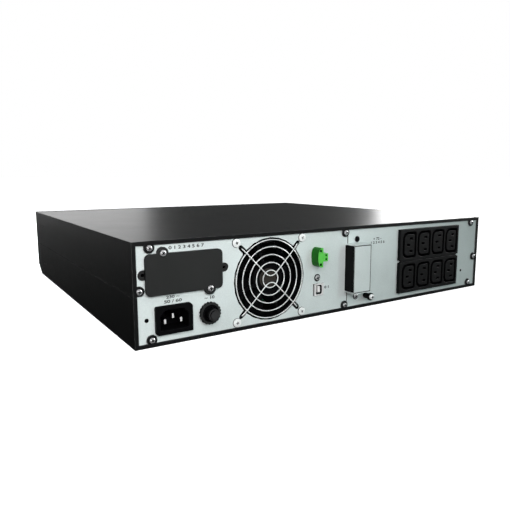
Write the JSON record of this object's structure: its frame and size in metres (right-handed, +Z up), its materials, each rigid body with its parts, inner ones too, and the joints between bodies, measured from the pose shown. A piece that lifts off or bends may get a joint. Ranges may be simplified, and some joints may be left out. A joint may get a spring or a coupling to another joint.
{
  "type": "uninterruptible power supply",
  "caption": "Flat rack-mount uninterruptible power supply with rear outlets, mains inlet, fan, card slot, turning display and a sliding battery tray.",
  "frame": {"origin": "centre of the case's underside", "axes": "+Z up, -Y out of the front bezel, +Y out of the rear panel, +X towards the side with the mains inlet"},
  "size_m": [0.438, 0.4255, 0.0865],
  "materials": {
    "black_coat": "satin",
    "panel_grey": "satin",
    "cover_grey": "matte",
    "black_plastic": "satin",
    "black_screw": "satin",
    "plated_steel": "polished",
    "zinc_sheet": "satin",
    "green_plastic": "satin",
    "light_plastic": "satin",
    "lens": "gloss",
    "battery_case": "matte",
    "board": "satin",
    "aluminium": "satin",
    "winding": "satin"
  },
  "bodies": {
    "case": {"base_tray": "black_coat", "top_cover": "black_coat", "slot_cage": "black_coat", "ground_nut": "black_coat", "rear_panel_left": "panel_grey", "rear_panel_right": "panel_grey", "battery_port_cover": "panel_grey", "slot_cover": "cover_grey", "inlet_body": "black_plastic", "breaker_body": "black_plastic", "breaker_nut": "black_plastic", "fan_frame": "black_plastic", "battery_port": "black_plastic", "outlet_block_lower": "black_plastic", "outlet_block_upper": "black_plastic", "front_bezel": "black_plastic", "port_screw_top": "black_screw", "case_screw_1": "plated_steel", "case_screw_2": "plated_steel", "case_screw_3": "plated_steel", "case_screw_4": "plated_steel", "case_screw_5": "plated_steel", "case_screw_6": "plated_steel", "case_screw_7": "plated_steel", "case_screw_8": "plated_steel", "slot_screw_1": "plated_steel", "slot_screw_2": "plated_steel", "board_screw": "plated_steel", "port_screw_bottom": "plated_steel", "fan_screw_1": "plated_steel", "fan_screw_2": "plated_steel", "fan_screw_3": "plated_steel", "fan_screw_4": "plated_steel", "ground_terminal": "plated_steel", "inlet_pin_line": "plated_steel", "inlet_pin_earth": "plated_steel", "inlet_pin_neutral": "plated_steel", "fan_guard": "plated_steel", "usb_shell": "plated_steel", "inner_wall": "zinc_sheet", "epo_header": "green_plastic", "usb_tongue": "light_plastic", "main_board": "board", "heatsink": "aluminium", "transformer": "winding"},
    "battery_pack": {"battery_tray": "zinc_sheet", "battery_1": "battery_case", "battery_2": "battery_case", "battery_3": "battery_case", "battery_4": "battery_case"},
    "battery_door": {"battery_cover": "black_plastic"},
    "display": {"display_dial": "black_plastic", "display_lens": "lens"},
    "key_power": {"button_power": "light_plastic"},
    "key_up": {"button_up": "light_plastic"},
    "key_down": {"button_down": "light_plastic"},
    "key_enter": {"button_enter": "light_plastic"},
    "breaker_key": {"breaker_button": "black_plastic"},
    "terminal_plug": {"epo_plug": "green_plastic"},
    "fan": {"fan_rotor": "black_plastic"}
  },
  "joints": [
    {"name": "fan_spin", "type": "hinge", "parent": "case", "child": "fan", "pos_m": [0.0898, 0.1864, 0.0433], "axis": [0, 1, 0], "continuous": true},
    {"name": "breaker_trip", "type": "slide", "parent": "case", "child": "breaker_key", "axis": [0, 1, 0], "range_m": [0, 0.004]},
    {"name": "terminal_unplug", "type": "slide", "parent": "case", "child": "terminal_plug", "axis": [0, 1, 0], "range_m": [0, 0.02]},
    {"name": "display_turn", "type": "hinge", "parent": "case", "child": "display", "pos_m": [0.042, -0.201, 0.0475], "axis": [0, -1, 0], "range_deg": [0, 90]},
    {"name": "battery_slide", "type": "slide", "parent": "case", "child": "battery_pack", "axis": [0, -1, 0], "range_m": [0, 0.3]},
    {"name": "door_off", "type": "slide", "parent": "case", "child": "battery_door", "axis": [0, -1, 0], "range_m": [0, 0.36]},
    {"name": "press_power", "type": "slide", "parent": "display", "child": "key_power", "axis": [0, 1, 0], "range_m": [0, 0.001], "stiffness_N_per_m": 800, "springref_m": -0.0005},
    {"name": "press_up", "type": "slide", "parent": "display", "child": "key_up", "axis": [0, 1, 0], "range_m": [0, 0.001], "stiffness_N_per_m": 800, "springref_m": -0.0005},
    {"name": "press_down", "type": "slide", "parent": "display", "child": "key_down", "axis": [0, 1, 0], "range_m": [0, 0.001], "stiffness_N_per_m": 800, "springref_m": -0.0005},
    {"name": "press_enter", "type": "slide", "parent": "display", "child": "key_enter", "axis": [0, 1, 0], "range_m": [0, 0.001], "stiffness_N_per_m": 800, "springref_m": -0.0005}
  ],
  "couplings": [
    {"joint": "door_off", "follows": "battery_slide", "ratio": 1.2}
  ]
}
